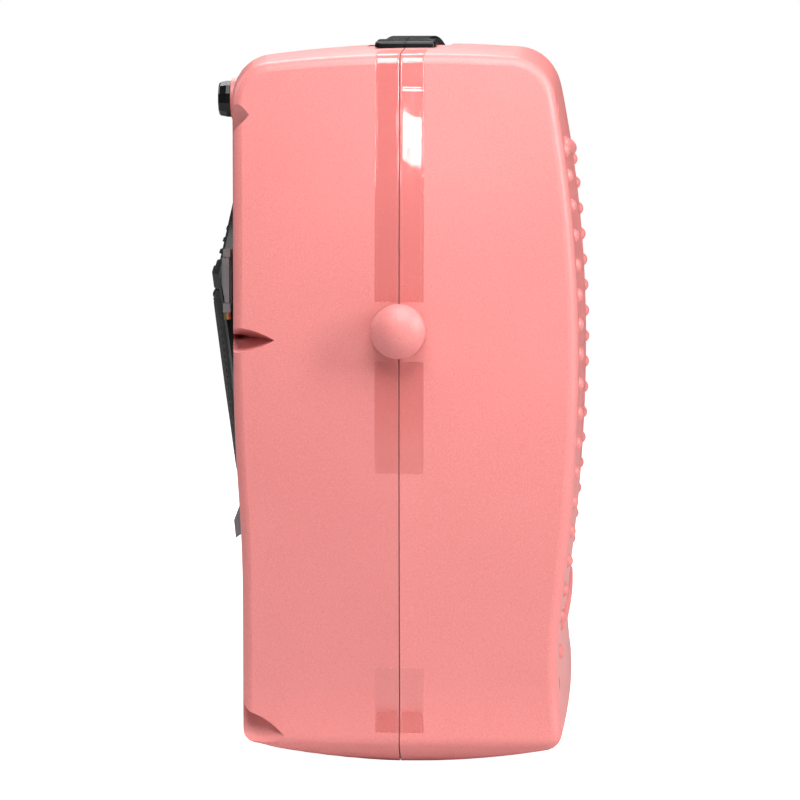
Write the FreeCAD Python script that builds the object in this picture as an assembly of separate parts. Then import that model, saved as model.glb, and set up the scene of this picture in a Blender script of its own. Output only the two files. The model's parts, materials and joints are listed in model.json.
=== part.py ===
import FreeCAD, Part
import math
import os

# An upright dust collector for nail work: a two-shell moulded housing with a round intake in front,
# a lift-off intake cover with a hand rest, a filter cartridge, a centrifugal fan and a rear exhaust.
# Millimetres. +X is the user's right, -Y the intake side, +Z up.
# The origin is on the base land, in the parting plane of the two shells, half way across.

V = FreeCAD.Vector
UP = V(0, 0, 1)
REAR = V(0, 1, 0)
RIGHT = V(1, 0, 0)

# Side walls: bulged, flared near the foot and turned under, and tapered to the front and to the rear
HALF_WIDTH = 150.0
SIDE_BULGE, SIDE_SPAN = 6.0, 342.0
SIDE_TAPER = math.tan(math.radians(3.5))
FLARE_TOP_Z, FLARE_R, FLARE_DEG = 39.0, 100.0, 12.0
FOOT_R, UNDER_DEG = 6.5, 45.0
WALL = 2.6
SEAM_GAP = 0.25
TONGUE_REACH = 4.0
LOFT_REACH = 120.0

# Top and base faces: the top is crowned both ways, the base only from front to rear
TOP_CREST_Z, TOP_CROWN_R = 353.0, 948.0
TOP_ARC_Y, TOP_ARC_R = 8.0, 620.0
BASE_ARC_Y, BASE_ARC_R, BASE_SINK = 5.0, 350.0, 0.4

# Front and rear faces, as their depth at mid width and the radius that they are crowned to
FRONT_LOW_Y, FRONT_Y = -86.3, -90.5
FRONT_STEP_LOW_Z, FRONT_STEP_HIGH_Z = 75.0, 190.0
FRONT_CROWN_R = 1050.0
CREST_Y, CREST_Z = 87.8, 195.0
UPPER_SWELL_R, LOWER_SWELL_R = 700.0, 900.0
HOLLOW_R, HOLLOW_TOP_Z = 230.0, 78.0
REAR_CROWN_R = 5000.0
FRONT_TOP_R, FRONT_BASE_R = 19.0, 6.5
REAR_TOP_R, REAR_BASE_R = 22.0, 9.0
RIM_R = 5.5

# Intake, its grooves and the fan, all round one axis
FAN_Z = 205.0
BAY_R = 92.6
BAY_REAR_Y = -56.0
GROOVE_START_R = 100.0
GROOVE_PLANE_Y = -82.0
SIDE_GROOVE = (0.0, 148.0, 13.5, 22.4)
TOP_CORNER_GROOVE = (37.5, 178.0, 12.0, 9.0)
LOW_CORNER_GROOVE = (-53.0, 238.0, 9.5, 25.0)
TOP_GROOVE = (90.0, 140.0, 12.0, 12.0)
LOW_GROOVE = (-90.0, 200.0, 12.0, 14.0)

# Intake cover
COVER_R = 92.0
COVER_CROWN_R = 320.0
COVER_REAR_Y = -78.0
RIDGE_Y, RIDGE_Z = -107.0, 235.0
COVER_LOW_Y, COVER_LOW_Z = -88.0, 90.0
COVER_TOP_Y, COVER_TOP_Z = -82.0, 320.0
COVER_SKIN = 5.6
PAD_DEPTH, PAD_PROUD = 3.0, 1.4
PAD_R, PAD_TOP_Z = 84.0, 227.0
WINDOW_R, WINDOW_LOW_Z = 84.0, 238.0

# Carry handle, its pocket and its guides
HANDLE_HALF = 107.5
LUG_HALF_Y, GRIP_HALF_Y = 15.0, 11.5
LUG_LENGTH = 21.0
HANDLE_THICK = 11.0
POST_X, POST_R = 97.0, 4.0
POCKET_HALF_X, POCKET_HALF_Y, POCKET_FLOOR_Z = 83.0, 21.0, 328.0
HANDLE_TRAVEL = 18.0
GUIDE_LOW_Z, STOP_THICK = 298.0, 3.0
POST_TOP_Z, HANDLE_EDGE_Z = 346.5, 348.0

# Side studs
STUD_Z, STUD_R = 210.0, 13.0
STUD_BASE_X, STUD_STRAIGHT, STUD_DOME = 150.4, 9.6, 6.0
SPIGOT_R = 8.0

# Speed knob
KNOB_X, KNOB_Z, KNOB_R = 95.0, 322.5, 9.2
KNOB_SEAT_Y, KNOB_FRONT_Y = -86.6, -93.0
BOARD_Y, BOARD_THICK = -66.0, 1.6
BOARD_SCREWS = [(76.0, 294.0), (115.0, 294.0), (76.0, 327.0)]

# Housing screws: places across and up
BOSS_PLACES = [(sx * x, z) for sx in (-1, 1) for x, z in ((124.0, 36.0), (113.0, 140.0), (127.5, 318.0))]
BOSS_R = 6.0
BOSS_FLOOR_Y = 14.0
SCREW_R, SCREW_HEAD_R = 1.75, 3.3

# Motor and fan
MOTOR_R, MOTOR_FRONT_Y, MOTOR_REAR_Y = 34.0, 26.0, 63.0
PLATE_THICK = 2.0
MOUNT_OFFSET = 52.0
ISOLATOR_THICK = 4.0
SHAFT_R = 4.0
IMPELLER_R, EYE_R, HUB_R = 86.0, 60.0, 14.0
IMPELLER_FRONT_Y, IMPELLER_REAR_Y = -38.0, 10.0
BLADES = 22

# Rear studs and exhaust
NUB_R, NUB_PROUD = 3.9, 2.4
NUB_PITCH = 14.3
NUB_HALF_X, NUB_LOW_Z, NUB_TOP_Z, NUB_CORNER_R = 126.0, 64.0, 300.0, 16.0
SLOT_COLUMNS, SLOT_PITCH, SLOT_WIDTH = 20, 8.4, 3.6
SLOT_FIELD_R, SLOT_RIB_HALF = 92.0, 6.0

# Power panel on the left side
PANEL_Y, PANEL_Z = 42.0, 83.0
INLET_UP, ROCKER_UP = -21.0, 21.0
INLET_SCREW_X = 20.0
ROCKER_PIVOT = -3.0

# Tape over the parting line
TAPE_HALF, TAPE_THICK = 12.0, 0.25
TAPE_SPANS = [("tape_upper", 141.0, 400.0, 118.0), ("tape_lower", 14.5, 48.0, 100.0)]

CLEAR = 0.3


# ---------------------------------------------------------------- helpers

def save(name, shape):
    """Write one sub-part."""
    shape.exportStep("parts/%s.step" % name)
    print("%-26s solids %2d  volume %10.1f" % (name, len(shape.Solids), shape.Volume))


def box(x0, x1, y0, y1, z0, z1):
    return Part.makeBox(x1 - x0, y1 - y0, z1 - z0, V(x0, y0, z0))


def rod(radius, y0, y1, x=0.0, z=FAN_Z):
    """A round bar along Y."""
    return Part.makeCylinder(radius, y1 - y0, V(x, y0, z), REAR)


def ring(outer, inner, y0, y1, x=0.0, z=FAN_Z):
    return rod(outer, y0, y1, x, z).cut(rod(inner, y0 - 1, y1 + 1, x, z))


def post(radius, z0, z1, x=0.0, y=0.0):
    """A round bar along Z."""
    return Part.makeCylinder(radius, z1 - z0, V(x, y, z0), UP)


def prism(points, direction):
    """A closed polygon of points, pushed along direction."""
    return Part.Face(Part.makePolygon(points + points[:1])).extrude(direction)


def both_sides(shape):
    """The shape and its mirror image across the middle of the width."""
    return [shape, shape.mirror(V(0, 0, 0), RIGHT)]


def group(shapes):
    return Part.makeCompound(shapes)


def rounded_plate(width, height, radius, thick, x=0.0, y=0.0, z=0.0):
    """A plate in the XZ plane with rounded corners, from y towards the rear."""
    plate = box(x - width / 2, x + width / 2, y, y + thick, z - height / 2, z + height / 2)
    corners = [e for e in plate.Edges if abs(e.tangentAt(e.FirstParameter).y) > 0.9]
    return plate.makeFillet(radius, corners)


# ---------------------------------------------------------------- housing form

SIDE_R = ((SIDE_SPAN / 2) ** 2 + SIDE_BULGE ** 2) / (2 * SIDE_BULGE)
SIDE_C = (HALF_WIDTH - SIDE_R, SIDE_SPAN / 2)
TOP_AXIS_Z = TOP_CREST_Z - TOP_CROWN_R
BELOW, ABOVE = -40.0, 400.0


def polar(centre, radius, angle):
    return (centre[0] + radius * math.cos(angle), centre[1] + radius * math.sin(angle))


def arc(centre, radius, start, end, place):
    """An arc about centre between two angles in radians, its points set in space by place."""
    return Part.Arc(*[place(*polar(centre, radius, a)) for a in (start, (start + end) / 2, end)]).toShape()


def line(start, end):
    return Part.LineSegment(start, end).toShape()


def side_chain(place, inset):
    """One side wall seen from the front, from the foot up: turned under, flared out, then gently bulged."""
    flare, under = math.radians(FLARE_DEG), -math.radians(UNDER_DEG)
    reach = SIDE_R + FLARE_R
    start = -math.asin((SIDE_C[1] - FLARE_TOP_Z) / SIDE_R)
    flare_c = polar(SIDE_C, reach, start)
    foot_c = polar(flare_c, FLARE_R + FOOT_R, math.pi + flare)
    foot_end = polar(foot_c, FOOT_R - inset, under)
    drop = (foot_end[1] - BELOW) / math.cos(under)
    foot_tip = (foot_end[0] + drop * math.sin(under), BELOW)
    top = math.asin((ABOVE - SIDE_C[1]) / (SIDE_R - inset))
    return [
        line(place(*foot_tip), place(*foot_end)),
        arc(foot_c, FOOT_R - inset, under, flare, place),
        arc(flare_c, FLARE_R + inset, math.pi + flare, math.pi + start, place),
        arc(SIDE_C, SIDE_R - inset, start, top, place),
    ], place(*foot_tip), place(*polar(SIDE_C, SIDE_R - inset, top))


def side_outline(y, inset):
    """Both side walls in the plane at y, joined far above and far below the housing."""
    shift = abs(y) * SIDE_TAPER
    right, right_foot, right_top = side_chain(lambda x, z: V(x - shift, y, z), inset)
    left, left_foot, left_top = side_chain(lambda x, z: V(shift - x, y, z), inset)
    return Part.Wire(right + [line(right_top, left_top)] + left[::-1] + [line(left_foot, right_foot)])


def between_sides(side, inset):
    """The space between the side walls, on one side of the parting plane: -1 for front, 1 for rear."""
    return Part.makeLoft([side_outline(0, inset), side_outline(side * LOFT_REACH, inset)], True, True)


def ease(start, end, share):
    """Two tangent arcs that join upright lines at two (y, z) points, and turn back at share of the way."""
    dy, dz = end[0] - start[0], end[1] - start[1]
    turn = 2 * math.atan2(dy, dz)
    knee = (start[0] + share * dy, start[1] + share * dz)
    first_r, last_r = share * dz / math.sin(turn), (1 - share) * dz / math.sin(turn)
    drop, rise = 1 - math.cos(turn / 2), math.sin(turn / 2)
    first = (start[0] + first_r * drop, start[1] + first_r * rise)
    last = (end[0] - last_r * drop, end[1] - last_r * rise)
    return [Part.Arc(V(0, *start), V(0, *first), V(0, *knee)), Part.Arc(V(0, *knee), V(0, *last), V(0, *end))]


def crowned(curves, back_y, axis_y, sweep=10.0):
    """The space behind a chain of curves at mid width, turned about an upright axis so that it is crowned."""
    first = curves[0].StartPoint
    last = curves[-1].EndPoint
    chain = [c.toShape() for c in curves] + [line(last, V(0, back_y, last.z)),
                                             line(V(0, back_y, last.z), V(0, back_y, first.z)),
                                             line(V(0, back_y, first.z), first)]
    face = Part.Face(Part.Wire(chain))
    face.rotate(V(0, axis_y, 0), UP, -sweep)
    return face.revolve(V(0, axis_y, 0), UP, 2 * sweep)


def upright(y, z0, z1):
    return Part.LineSegment(V(0, y, z0), V(0, y, z1))


def front_limit(shift):
    """Everything behind the front face, with the face moved back by shift."""
    low, high = FRONT_LOW_Y + shift, FRONT_Y + shift
    curves = [upright(low, BELOW, FRONT_STEP_LOW_Z)]
    curves += ease((low, FRONT_STEP_LOW_Z), (high, FRONT_STEP_HIGH_Z), 0.5)
    curves += [upright(high, FRONT_STEP_HIGH_Z, ABOVE)]
    return crowned(curves, 20.0, FRONT_Y + FRONT_CROWN_R)


SWELL_C = (CREST_Y - LOWER_SWELL_R, CREST_Z)
SWELL_END = -math.asin((CREST_Z - HOLLOW_TOP_Z) / LOWER_SWELL_R)
HOLLOW_C = polar(SWELL_C, LOWER_SWELL_R + HOLLOW_R, SWELL_END)


def bow(centre, radius, start, end):
    """An arc at mid width between two angles about a centre given as (y, z)."""
    return Part.Arc(*[V(0, *polar(centre, radius, a)) for a in (start, (start + end) / 2, end)])


def rear_limit(shift):
    """Everything ahead of the rear face, with the face moved in by shift."""
    foot = math.pi + math.asin((HOLLOW_C[1] - BELOW) / (HOLLOW_R + shift))
    top = math.asin((ABOVE - CREST_Z) / (UPPER_SWELL_R - shift))
    curves = [
        bow(HOLLOW_C, HOLLOW_R + shift, foot, math.pi + SWELL_END),
        bow(SWELL_C, LOWER_SWELL_R - shift, SWELL_END, 0),
        bow((CREST_Y - UPPER_SWELL_R, CREST_Z), UPPER_SWELL_R - shift, 0, top),
    ]
    return crowned(curves, -20.0, CREST_Y - REAR_CROWN_R)


def rear_face_y(x, z):
    """The depth of the rear face at one place."""
    if z > HOLLOW_TOP_Z:
        radius = UPPER_SWELL_R if z > CREST_Z else LOWER_SWELL_R
        drop = radius - math.sqrt(radius ** 2 - (z - CREST_Z) ** 2)
    else:
        drop = CREST_Y - HOLLOW_C[0] + math.sqrt(HOLLOW_R ** 2 - (z - HOLLOW_C[1]) ** 2)
    return CREST_Y - REAR_CROWN_R + math.sqrt((REAR_CROWN_R - drop) ** 2 - x ** 2)


def under_top(shift):
    """Everything below the top face, which is crowned both ways."""
    radius, far = TOP_ARC_R - shift, LOFT_REACH
    centre = (TOP_ARC_Y, TOP_CREST_Z - TOP_ARC_R)
    turn = math.asin(far / radius)
    top = arc(centre, radius, math.pi / 2 - turn, math.pi / 2 + turn, lambda y, z: V(0, y, z))
    rear, front = top.Vertexes[0].Point, top.Vertexes[-1].Point
    low_rear, low_front = V(0, rear.y, BELOW), V(0, front.y, BELOW)
    sides = [line(front, low_front), line(low_front, low_rear), line(low_rear, rear)]
    face = Part.Face(Part.Wire([top] + sides))
    axis, sweep = V(0, 0, TOP_AXIS_Z), 17.0
    face.rotate(axis, REAR, -sweep)
    return face.revolve(axis, REAR, 2 * sweep)


def over_base(shift):
    """Everything above the base, which is gently rounded from front to rear."""
    radius, turn = BASE_ARC_R - shift, math.asin(LOFT_REACH / BASE_ARC_R)
    centre = (BASE_ARC_Y, BASE_ARC_R - BASE_SINK)
    down = -math.pi / 2
    arch = arc(centre, radius, down - turn, down + turn, lambda y, z: V(-200, y, z))
    front, rear = arch.Vertexes[0].Point, arch.Vertexes[-1].Point
    high_front, high_rear = V(-200, front.y, ABOVE), V(-200, rear.y, ABOVE)
    sides = [line(rear, high_rear), line(high_rear, high_front), line(high_front, front)]
    face = Part.Face(Part.Wire([arch] + sides))
    return face.extrude(V(400, 0, 0))


def long_edges(solid, side, low, high):
    """The edges that run right across the front or rear of a block, between two heights."""
    return [e for e in solid.Edges if e.BoundBox.XLength > 250 and low < e.CenterOfMass.z < high
            and e.CenterOfMass.y * side > 60]


def rim_edges(solid):
    """The edges of the side walls, except those in the parting plane."""
    walls = []
    for face in solid.Faces:
        u0, u1, v0, v1 = face.ParameterRange
        normal = face.normalAt((u0 + u1) / 2, (v0 + v1) / 2)
        if abs(normal.x) > 0.4 and abs(face.CenterOfMass.x) > 110:
            walls.append(face)
    edges = []
    for edge in (e for face in walls for e in face.Edges):
        owners = sum(any(edge.isSame(other) for other in face.Edges) for face in walls)
        if owners == 1 and edge.BoundBox.YLength + abs(edge.CenterOfMass.y) > 0.01:
            edges.append(edge)
    return edges


def housing_half(side, inset):
    """One half of the housing as a solid, its walls moved in by inset."""
    limit = front_limit(inset) if side < 0 else rear_limit(inset)
    half_space = box(-200, 200, min(0, 200 * side), max(0, 200 * side), -60, ABOVE)
    block = limit.common(under_top(inset)).common(over_base(inset)).common(half_space)
    top_r, base_r = (FRONT_TOP_R, FRONT_BASE_R) if side < 0 else (REAR_TOP_R, REAR_BASE_R)
    block = block.makeFillet(top_r - inset, long_edges(block, side, 310, 360))
    block = block.makeFillet(base_r - inset, long_edges(block, side, -5, 30))
    solid = block.common(between_sides(side, inset))
    return solid.makeFillet(RIM_R - inset, rim_edges(solid))


def skin(side, outer, inner, y0, y1):
    """The layer of one half of the housing between two insets, cut to a length from y0 to y1."""
    layer = housing_half(side, outer).cut(housing_half(side, inner))
    return layer.common(box(-200, 200, y0, y1, -60, ABOVE))


def cone(tip, base):
    """A solid that runs from one point to a closed wire."""
    return Part.makeLoft([Part.Vertex(tip), base], True, True)


def groove_form(angle, rim_r, mouth, depth, start_r):
    """A groove that widens and deepens outward from start_r: its section is a pointed arch."""
    over, end_r = 14.0, rim_r * 1.25
    grow = (end_r - start_r) / (rim_r - start_r)
    half, deep = mouth / 2 * grow, depth * grow
    turn = math.radians(angle)

    def place(across, y, along=end_r):
        return V(along * math.cos(turn) - across * math.sin(turn), GROOVE_PLANE_Y + y,
                 FAN_Z + along * math.sin(turn) + across * math.cos(turn))

    belly = 0.07
    mid_across, mid_y = half * (0.5 + belly * deep / half), deep * (0.5 + belly * half / deep)
    base = Part.Wire([
        line(place(-half, -over * grow), place(-half, 0)),
        Part.Arc(place(-half, 0), place(-mid_across, mid_y), place(0, deep)).toShape(),
        Part.Arc(place(0, deep), place(mid_across, mid_y), place(half, 0)).toShape(),
        line(place(half, 0), place(half, -over * grow)),
        line(place(half, -over * grow), place(-half, -over * grow)),
    ])
    return cone(place(0, 0, start_r), base)


def all_grooves():
    """The grooves round the intake, and the thicker forms that the wall follows behind them."""
    grooves = [TOP_GROOVE, LOW_GROOVE]
    for angle, rim_r, mouth, depth in (SIDE_GROOVE, TOP_CORNER_GROOVE, LOW_CORNER_GROOVE):
        grooves += [(angle, rim_r, mouth, depth), (180.0 - angle, rim_r, mouth, depth)]
    cuts = [groove_form(*g, GROOVE_START_R) for g in grooves]
    backs = [groove_form(angle, rim_r, mouth + 2.2 * WALL, depth + 1.8 * WALL, GROOVE_START_R - 12)
             for angle, rim_r, mouth, depth in grooves]
    return cuts, backs


def handle_pocket(grow):
    return box(-POCKET_HALF_X - grow, POCKET_HALF_X + grow, -POCKET_HALF_Y - grow, POCKET_HALF_Y + grow,
               POCKET_FLOOR_Z - grow, ABOVE)


def post_guides():
    """The tubes under the top that the handle posts run in, and the holes through them."""
    tubes = both_sides(post(POST_R + 3.4, GUIDE_LOW_Z, TOP_CREST_Z, POST_X))
    holes = both_sides(post(POST_R + 0.4, GUIDE_LOW_Z - 1, ABOVE, POST_X))
    return tubes, holes


def spigot_holes():
    return both_sides(Part.makeCylinder(SPIGOT_R + 0.2, 30, V(135, 0, STUD_Z), RIGHT))


def shell_blank(side):
    """One shell with its wall, handle pocket and post guides, and what is cut from it at the end."""
    outer = housing_half(side, 0)
    cavity = housing_half(side, WALL).cut(handle_pocket(WALL))
    cuts = []
    if side < 0:
        cuts, backs = all_grooves()
        cavity = cavity.cut(backs)
    tubes, holes = post_guides()
    shell = outer.cut([cavity, handle_pocket(0)])
    shell = shell.fuse([tube.common(outer) for tube in tubes])
    below_base = box(-200, 200, -200, 200, -50, 0)
    seam = side * SEAM_GAP
    beyond = box(-200, 200, min(seam, -200 * side), max(seam, -200 * side), -60, ABOVE)
    return shell, outer, [below_base, beyond] + holes + cuts


def screw_holes(front):
    if front:
        return [rod(SCREW_R + 0.05, -16, 1, x, z) for x, z in BOSS_PLACES]
    wide = [rod(SCREW_HEAD_R + 0.3, BOSS_FLOOR_Y, 120, x, z) for x, z in BOSS_PLACES]
    return wide + [rod(SCREW_R + 0.2, -1, BOSS_FLOOR_Y + 1, x, z) for x, z in BOSS_PLACES]


# ---------------------------------------------------------------- shells

def make_front_shell():
    shell, outer, cuts = shell_blank(-1)
    bay = rod(BAY_R + WALL, -110, BAY_REAR_Y + WALL).common(outer)
    bosses = [rod(BOSS_R, -110, -SEAM_GAP, x, z).common(outer) for x, z in BOSS_PLACES]
    board_bosses = [rod(3.6, -110, BOARD_Y, x, z).common(outer) for x, z in BOARD_SCREWS]
    knob_pad = rod(KNOB_R + 1.2, KNOB_SEAT_Y, -78, KNOB_X, KNOB_Z)
    root = skin(-1, WALL - 0.4, WALL + 1.8, -7, -1)
    tongue = skin(-1, WALL + 0.5, WALL + 1.8, -7, 0)
    ends = [f for f in tongue.Faces if f.BoundBox.YMin > -0.001]
    tongue = root.fuse([tongue] + [end.extrude(V(0, TONGUE_REACH, 0)) for end in ends])
    tubes = both_sides(post(POST_R + 3.4 + CLEAR, 290, ABOVE, POST_X))
    tongue = tongue.cut(tubes + [handle_pocket(WALL + CLEAR)])
    shell = shell.fuse([bay, knob_pad] + bosses + board_bosses).cut(cuts).fuse(tongue)
    openings = [rod(BAY_R, -120, BAY_REAR_Y), rod(79.0, -120, 0), rod(3.9, -120, -70, KNOB_X, KNOB_Z)]
    board_holes = [rod(1.3, -76, BOARD_Y + 1, x, z) for x, z in BOARD_SCREWS]
    throat_holes = [rod(1.3, BAY_REAR_Y - 1, 0, x, z) for x, z in throat_screw_places()]
    shell = shell.cut(openings + board_holes + throat_holes + screw_holes(True) + spigot_holes())
    save("front_shell", shell.removeSplitter())


def throat_screw_places():
    reach = 86.0
    return [(reach * math.cos(math.radians(a)), FAN_Z + reach * math.sin(math.radians(a))) for a in (45, 135, 225, 315)]


def exhaust_slots():
    """Upright slots that fill a round field, parted by a rib across its middle."""
    slots = []
    half = SLOT_WIDTH / 2
    for column in range(SLOT_COLUMNS):
        x = (column - (SLOT_COLUMNS - 1) / 2) * SLOT_PITCH
        reach = math.sqrt(SLOT_FIELD_R ** 2 - x ** 2)
        for low, high in ((FAN_Z - reach, FAN_Z - SLOT_RIB_HALF), (FAN_Z + SLOT_RIB_HALF, FAN_Z + reach)):
            ends = [rod(half, 40, 120, x, z) for z in (low, high)]
            slots.append(box(x - half, x + half, 40, 120, low, high).fuse(ends).removeSplitter())
    return slots


def mount_places():
    return [(sx * MOUNT_OFFSET, FAN_Z + sz * MOUNT_OFFSET) for sx in (-1, 1) for sz in (-1, 1)]


SCREEN_Y, SCREEN_THICK, SCREEN_R = 70.0, 1.0, 101.0


def make_rear_shell():
    shell, outer, cuts = shell_blank(1)
    isolator_y = MOTOR_FRONT_Y + ISOLATOR_THICK
    bosses = [rod(BOSS_R, SEAM_GAP, 120, x, z).common(outer) for x, z in BOSS_PLACES]
    bosses += [rod(5.0, isolator_y, 120, x, z).common(outer) for x, z in mount_places()]
    screen_rim = ring(SCREEN_R + 2.4, SCREEN_R + 0.2, SCREEN_Y, 120).common(outer)
    screen_ledge = ring(SCREEN_R + 2.4, SCREEN_R - 2.0, SCREEN_Y + SCREEN_THICK + 0.1, 120).common(outer)
    shell = shell.fuse(bosses + [screen_rim, screen_ledge])
    mount_holes = [rod(SCREW_R + 0.05, isolator_y - 1, isolator_y + 16, x, z) for x, z in mount_places()]
    shell = shell.cut(cuts + exhaust_slots() + mount_holes + screw_holes(False) + spigot_holes())
    shell = shell.cut([panel_place(inlet_hole()), panel_place(rocker_hole())])
    save("rear_shell", shell.removeSplitter())


def make_shell_screws():
    screws = []
    for x, z in BOSS_PLACES:
        head = rod(SCREW_HEAD_R, BOSS_FLOOR_Y, BOSS_FLOOR_Y + 2.4, x, z)
        screw = rod(SCREW_R, -13, BOSS_FLOOR_Y, x, z).fuse(head)
        cross = [box(x - 1.9, x + 1.9, BOSS_FLOOR_Y + 1.2, BOSS_FLOOR_Y + 3, z - 0.45, z + 0.45),
                 box(x - 0.45, x + 0.45, BOSS_FLOOR_Y + 1.2, BOSS_FLOOR_Y + 3, z - 1.9, z + 1.9)]
        screws.append(screw.cut(cross))
    save("shell_screws", group(screws))


def make_side_studs():
    """A domed stud on each side, trapped between the shells by a flange inside the wall."""
    dome_r = (STUD_R ** 2 + STUD_DOME ** 2) / (2 * STUD_DOME)
    tip_x = STUD_BASE_X + STUD_STRAIGHT + STUD_DOME
    straight = Part.makeCylinder(STUD_R, STUD_STRAIGHT + STUD_DOME, V(STUD_BASE_X, 0, STUD_Z), RIGHT)
    dome = Part.makeSphere(dome_r, V(tip_x - dome_r, 0, STUD_Z))
    block = box(STUD_BASE_X, STUD_BASE_X + STUD_STRAIGHT, -20, 20, STUD_Z - 20, STUD_Z + 20)
    head = straight.common(dome.fuse(block))
    spigot = Part.makeCylinder(SPIGOT_R, STUD_BASE_X - 141, V(141, 0, STUD_Z), RIGHT)
    flange = Part.makeCylinder(12.0, 3.6, V(141, 0, STUD_Z), RIGHT)
    stud = head.fuse([spigot, flange]).removeSplitter()
    for name, shape in zip(("side_stud_right", "side_stud_left"), both_sides(stud)):
        save(name, shape)


def make_tapes():
    """Clear tape laid over the parting line on both sides; the upper length runs over the edge of the top."""
    lift = 0.05
    film = [skin(-1, -lift - TAPE_THICK, -lift, -TAPE_HALF, 0), skin(1, -lift - TAPE_THICK, -lift, 0, TAPE_HALF)]
    for name, low, high, inner in TAPE_SPANS:
        lengths = []
        for side in (-1, 1):
            reach = box(*sorted((side * inner, side * 200.0)), -TAPE_HALF, TAPE_HALF, low, high)
            stud = Part.makeCylinder(STUD_R + 0.4, 40, V(side * 130, 0, STUD_Z), V(side, 0, 0))
            for half in film:
                lengths += half.common(reach).cut(stud).Solids
        save(name, group(lengths))


def make_rear_studs():
    """Small domed grip studs in a rounded rectangle round the exhaust, and two larger ones low down."""
    outer = housing_half(1, 0)
    half_x, half_z = NUB_HALF_X - NUB_CORNER_R, (NUB_TOP_Z - NUB_LOW_Z) / 2 - NUB_CORNER_R
    mid_z = (NUB_TOP_Z + NUB_LOW_Z) / 2
    quarter = math.pi / 2 * NUB_CORNER_R
    length = 4 * half_x + 4 * half_z + 4 * quarter
    count = round(length / NUB_PITCH)
    path = Part.Wire(rounded_plate(2 * NUB_HALF_X, NUB_TOP_Z - NUB_LOW_Z, NUB_CORNER_R, 1.0, 0, 0, mid_z)
                     .section(box(-200, 200, 0.5, 50, 0, 400)).Edges)
    places = [(p.x, p.z, NUB_R) for p in path.discretize(Number=count + 1)[:-1]]
    places += [(sx * (NUB_HALF_X - 9), NUB_LOW_Z - 13, NUB_R + 0.7) for sx in (-1, 1)]
    studs = []
    for x, z, radius in places:
        centre = V(x, rear_face_y(x, z) + NUB_PROUD - radius, z)
        studs.append(Part.makeSphere(radius, centre).cut(outer))
    solids = [s for stud in studs for s in stud.Solids]
    save("rear_studs", group(solids))


# ---------------------------------------------------------------- carry handle

def handle_bar():
    """The whole handle: a lug at each end and a narrower grip, all under one domed top."""
    reach = HANDLE_HALF - LUG_LENGTH
    deep = POCKET_HALF_X - 2.0
    lift, sag = 4.0, 7.3
    top_r = (HANDLE_HALF ** 2 + sag ** 2) / (2 * sag)
    top_z = TOP_CREST_Z + lift
    bars = [box(-HANDLE_HALF, HANDLE_HALF, -GRIP_HALF_Y, GRIP_HALF_Y, 300, 380)]
    bars += both_sides(box(reach, HANDLE_HALF, -LUG_HALF_Y, LUG_HALF_Y, 300, 380))
    plan = bars[0].fuse(bars[1:]).removeSplitter()
    plan = plan.makeFillet(2.5, [e for e in plan.Edges if e.BoundBox.ZLength > 50
                                 and abs(e.CenterOfMass.y) > GRIP_HALF_Y + 1])
    crest = Part.makeCylinder(top_r, 60, V(0, -30, top_z - top_r), REAR)
    under_grip = Part.makeCylinder(top_r, 60, V(0, -30, top_z - HANDLE_THICK - top_r), REAR)
    middle = box(-deep, deep, -40, 40, 0, 400)
    floor_r = TOP_CROWN_R + CLEAR
    over_top = Part.makeCylinder(floor_r, 60, V(0, -30, TOP_CREST_Z + CLEAR - floor_r), REAR)
    return plan.common(crest).cut([under_grip.common(middle), over_top.cut(middle)])


def make_handle():
    """The handle's front and rear halves, clamped on two posts with stop rings under the guides."""
    bar = handle_bar()
    crest = [e for e in bar.Edges if e.BoundBox.ZMin > HANDLE_EDGE_Z and e.BoundBox.XLength > 15
             and e.BoundBox.ZMax > HANDLE_EDGE_Z + 1.5]
    bar = bar.makeFillet(1.2, [e for e in crest if e.CenterOfMass.z > TOP_CREST_Z - 4])
    post_top = POST_TOP_Z
    sockets = both_sides(post(POST_R + 0.05, 300, post_top + 0.2, POST_X))
    gap = 0.2
    save("handle_front_half", bar.common(box(-200, 200, -50, -gap, 0, 400)).cut(sockets))
    save("handle_rear_half", bar.common(box(-200, 200, gap, 50, 0, 400)).cut(sockets))
    stop_top = GUIDE_LOW_Z - HANDLE_TRAVEL - CLEAR
    save("handle_posts", group(both_sides(post(POST_R, stop_top - STOP_THICK, post_top, POST_X))))
    stop = post(8.5, stop_top - STOP_THICK, stop_top, POST_X).cut(post(POST_R + 0.05, 200, 320, POST_X))
    save("handle_stops", group(both_sides(stop)))


# ---------------------------------------------------------------- intake cover and filter

def cover_form(shift):
    """Everything behind the cover's two facets, moved back by shift: they meet in a level ridge."""
    low = V(0, COVER_LOW_Y + shift, COVER_LOW_Z)
    ridge = V(0, RIDGE_Y + shift, RIDGE_Z)
    top = V(0, COVER_TOP_Y + shift, COVER_TOP_Z)
    return crowned([Part.LineSegment(low, ridge), Part.LineSegment(ridge, top)], -60.0,
                   RIDGE_Y + COVER_CROWN_R, 25.0)


def below(z):
    return box(-200, 200, -200, 0, 0, z)


def above(z):
    return box(-200, 200, -200, 0, z, 400)


def make_cover():
    """The black cover frame: a shallow drum with an open upper window and a seat for the hand rest."""
    drum = rod(COVER_R, -115, COVER_REAR_Y)
    hollow = rod(COVER_R - WALL, -115, COVER_REAR_Y + 1).common(cover_form(COVER_SKIN))
    window = rod(WINDOW_R, -130, -60).common(above(WINDOW_LOW_Z))
    seat = rod(PAD_R + 0.4, -130, -60).common(below(PAD_TOP_Z + 0.4)).cut(cover_form(PAD_DEPTH))
    frame = drum.common(cover_form(0)).cut([hollow, window, seat])
    save("cover_frame", frame.removeSplitter())
    pad = rod(PAD_R, -130, -60).common(below(PAD_TOP_Z)).common(cover_form(-PAD_PROUD))
    save("hand_rest_pad", pad.cut(cover_form(PAD_DEPTH - 0.1)))


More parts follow.
